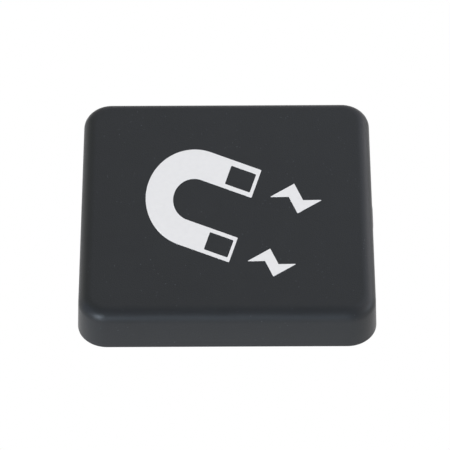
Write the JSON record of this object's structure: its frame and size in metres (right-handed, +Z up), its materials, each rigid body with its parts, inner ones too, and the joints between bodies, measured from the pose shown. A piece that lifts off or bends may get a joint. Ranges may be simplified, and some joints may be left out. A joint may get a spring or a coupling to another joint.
{
  "type": "watch demagnetizer pad",
  "caption": "Flat square pad with rounded edges that demagnetizes a watch laid on it, using a pulsed coil under its top; side push button and rear power socket.",
  "frame": {"origin": "centre of the pad in plan, on the surface its rubber feet stand on", "axes": "+Z up through the printed top face, +X to the side with the push button, +Y to the side with the power socket; the printed mark reads upright from -Y"},
  "size_m": [0.08, 0.08, 0.0134],
  "materials": {
    "case_plastic": "dark slate-grey polycarbonate blend with a fine spark-eroded grain",
    "base_plastic": "dark grey moulded plastic, fine grain",
    "foot_rubber": "matt black elastomer",
    "screw_steel": "zinc-plated steel",
    "bobbin_nylon": "black glass-filled nylon",
    "copper_wire": "enamelled copper wire",
    "coil_tape": "amber polyimide tape",
    "ferrite": "sintered dark grey ferrite",
    "board_laminate": "green glass-epoxy laminate with solder mask",
    "socket_steel": "drawn stainless steel",
    "black_moulding": "black liquid-crystal polymer",
    "capacitor_aluminium": "bare aluminium can on a dark base",
    "chip_epoxy": "black moulded epoxy with tinned leads",
    "chip_ceramic": "tan ceramic with tinned ends",
    "connector_nylon": "natural white nylon",
    "clear_acrylic": "clear acrylic",
    "led_epoxy": "pale clear epoxy",
    "button_plastic": "dark slate-grey plastic like the cover's",
    "spring_steel": "thin sprung stainless steel",
    "red_insulation": "red silicone insulation",
    "black_insulation": "black silicone insulation"
  },
  "bodies": {
    "housing": {"base_plate": "base_plastic", "board_screw_1": "screw_steel", "board_screw_2": "screw_steel", "board_screw_3": "screw_steel", "board_screw_4": "screw_steel", "boost_inductor": "ferrite", "bridge_transistor_1": "chip_epoxy", "bridge_transistor_2": "chip_epoxy", "bridge_transistor_3": "chip_epoxy", "bridge_transistor_4": "chip_epoxy", "case_screw_1": "screw_steel", "case_screw_2": "screw_steel", "case_screw_3": "screw_steel", "case_screw_4": "screw_steel", "circuit_board": "board_laminate", "coil_bobbin": "bobbin_nylon", "coil_lead_finish": "black_insulation", "coil_lead_start": "red_insulation", "coil_tape": "coil_tape", "coil_winding": "copper_wire", "controller_chip": "chip_epoxy", "ferrite_core": "ferrite", "gate_driver_chip": "chip_epoxy", "input_capacitor_1": "chip_ceramic", "input_capacitor_2": "chip_ceramic", "input_fuse": "board_laminate", "lead_header": "connector_nylon", "lead_plug": "connector_nylon", "light_pipe": "clear_acrylic", "rectifier_diode": "chip_epoxy", "rubber_foot_1": "foot_rubber", "rubber_foot_2": "foot_rubber", "rubber_foot_3": "foot_rubber", "rubber_foot_4": "foot_rubber", "sense_resistor": "chip_ceramic", "status_led": "led_epoxy", "storage_capacitor_1": "capacitor_aluminium", "storage_capacitor_2": "capacitor_aluminium", "storage_capacitor_3": "capacitor_aluminium", "storage_capacitor_4": "capacitor_aluminium", "switch_body": "black_moulding", "switch_dome": "spring_steel", "top_cover": "case_plastic", "usb_socket_shell": "socket_steel", "usb_socket_tongue": "black_moulding"},
    "button": {"button_cap": "button_plastic", "switch_plunger": "connector_nylon"}
  },
  "joints": [
    {"name": "button_press", "type": "slide", "parent": "housing", "child": "button", "axis": [-1, 0, 0], "range_m": [0, 0.0005], "stiffness_N_per_m": 1500, "springref_m": -0.0004, "deforming": ["switch_dome"]}
  ]
}
